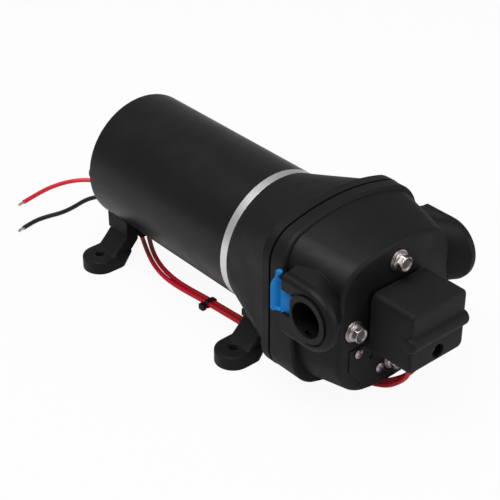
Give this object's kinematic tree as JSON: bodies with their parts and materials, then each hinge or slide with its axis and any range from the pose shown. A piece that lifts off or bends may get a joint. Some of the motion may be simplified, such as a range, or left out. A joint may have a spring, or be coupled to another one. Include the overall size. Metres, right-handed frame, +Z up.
{
  "type": "water pressure pump",
  "caption": "Motor driven diaphragm water pump with side ports, slide clips, pressure switch, rubber feet and leads.",
  "frame": {"origin": "on the floor, in the middle of the four foot holes", "axes": "+X along the motor to the pump head, +Y to the port on the pump's right as seen from behind its motor, +Z up"},
  "size_m": [0.3215, 0.1089, 0.1026],
  "materials": {
    "can_paint": "satin black powder coat on a steel can",
    "black_abs": "fine textured black moulding",
    "black_rubber": "matte black rubber",
    "valve_rubber": "smooth black rubber",
    "bare_aluminium": "die cast and turned aluminium",
    "stainless": "stainless steel",
    "bright_steel": "ground steel",
    "laminated_steel": "stacked steel sheets",
    "copper": "enamelled copper winding",
    "brass": "stamped brass",
    "ferrite": "sintered ferrite",
    "carbon": "pressed carbon",
    "white_nylon": "natural nylon",
    "blue_acetal": "smooth blue moulding",
    "red_pvc": "red lead insulation",
    "black_pvc": "black lead insulation",
    "tinned_copper": "tinned copper strands",
    "black_nylon": "black nylon cable tie"
  },
  "bodies": {
    "pump": {"motor_can": "can_paint", "rear_end_cap": "black_abs", "front_end_bell": "bare_aluminium", "motor_through_bolts": "bright_steel", "field_magnets": "ferrite", "shaft_bearing_outer_rings": "bright_steel", "brush_card": "black_abs", "brush_holders": "brass", "brush_spring_upper": "bright_steel", "brush_spring_lower": "bright_steel", "lead_grommet": "black_rubber", "drive_housing": "black_abs", "bell_screws": "bright_steel", "diaphragm": "valve_rubber", "valve_plate": "white_nylon", "inlet_valves": "valve_rubber", "outlet_valve": "valve_rubber", "pump_head": "black_abs", "head_seal": "valve_rubber", "housing_washers": "stainless", "housing_screws": "stainless", "switch_base": "black_abs", "switch_diaphragm": "valve_rubber", "rocker_pin": "bright_steel", "contact_block": "black_abs", "switch_terminals": "brass", "switch_boot": "black_rubber", "cover_plate": "black_abs", "cover_screws": "stainless", "rear_saddle": "black_abs", "saddle_screws": "bright_steel", "foot_front_left": "black_rubber", "foot_front_right": "black_rubber", "foot_rear_left": "black_rubber", "foot_rear_right": "black_rubber", "red_supply_lead": "red_pvc", "red_motor_lead": "red_pvc", "black_supply_lead": "black_pvc", "lead_strands": "tinned_copper", "cable_tie": "black_nylon"},
    "rotor": {"motor_shaft": "bright_steel", "armature_core": "laminated_steel", "armature_windings": "copper", "commutator": "copper", "shaft_bearing_inner_rings": "bright_steel", "eccentric_hub": "bare_aluminium", "cam_bearing_inner": "bright_steel"},
    "wobbler": {"cam_bearing_outer": "bright_steel", "wobble_plate": "white_nylon", "piston_discs": "white_nylon", "piston_screws": "stainless"},
    "left_clip": {"clip_left": "blue_acetal"},
    "right_clip": {"clip_right": "blue_acetal"},
    "upper_brush": {"brush_upper": "carbon"},
    "lower_brush": {"brush_lower": "carbon"},
    "plunger": {"switch_plunger": "white_nylon"},
    "rocker": {"switch_rocker": "brass", "switch_spring": "bright_steel"},
    "seat": {"spring_seat": "brass"},
    "adjuster": {"adjusting_screw": "stainless"}
  },
  "joints": [
    {"name": "armature_spin", "type": "hinge", "parent": "pump", "child": "rotor", "pos_m": [0, 0, 0.055], "axis": [1, 0, 0], "continuous": true},
    {"name": "wobble_spin", "type": "hinge", "parent": "rotor", "child": "wobbler", "pos_m": [0.0945, 0, 0.055], "axis": [0.9981, 0, 0.061], "continuous": true},
    {"name": "clip_left_slide", "type": "slide", "parent": "pump", "child": "left_clip", "axis": [-1, 0, 0], "range_m": [0, 0.007]},
    {"name": "clip_right_slide", "type": "slide", "parent": "pump", "child": "right_clip", "axis": [-1, 0, 0], "range_m": [0, 0.007]},
    {"name": "brush_upper_slide", "type": "slide", "parent": "pump", "child": "upper_brush", "axis": [0, 0, 1], "range_m": [0, 0.003], "stiffness_N_per_m": 300, "springref_m": -0.005, "deforming": ["brush_spring_upper"]},
    {"name": "brush_lower_slide", "type": "slide", "parent": "pump", "child": "lower_brush", "axis": [0, 0, -1], "range_m": [0, 0.003], "stiffness_N_per_m": 300, "springref_m": -0.005, "deforming": ["brush_spring_lower"]},
    {"name": "plunger_slide", "type": "slide", "parent": "pump", "child": "plunger", "axis": [1, 0, 0], "range_m": [0, 0.0008], "stiffness_N_per_m": 1500, "springref_m": -0.001},
    {"name": "rocker_swing", "type": "hinge", "parent": "pump", "child": "rocker", "pos_m": [0.1472, 0, 0.068], "axis": [0, -1, 0], "range_deg": [0, 5.75]},
    {"name": "spring_seat_slide", "type": "slide", "parent": "pump", "child": "seat", "axis": [1, 0, 0], "range_m": [0, 0.00115]},
    {"name": "adjusting_screw_turn", "type": "hinge", "parent": "seat", "child": "adjuster", "pos_m": [0.158, 0, 0.045], "axis": [1, 0, 0], "range_deg": [0, 600]}
  ],
  "couplings": [
    {"joint": "wobble_spin", "follows": "armature_spin", "ratio": -1},
    {"joint": "rocker_swing", "follows": "plunger_slide", "rad_per_m": 125},
    {"joint": "adjusting_screw_turn", "follows": "spring_seat_slide", "rad_per_m": 8976}
  ]
}
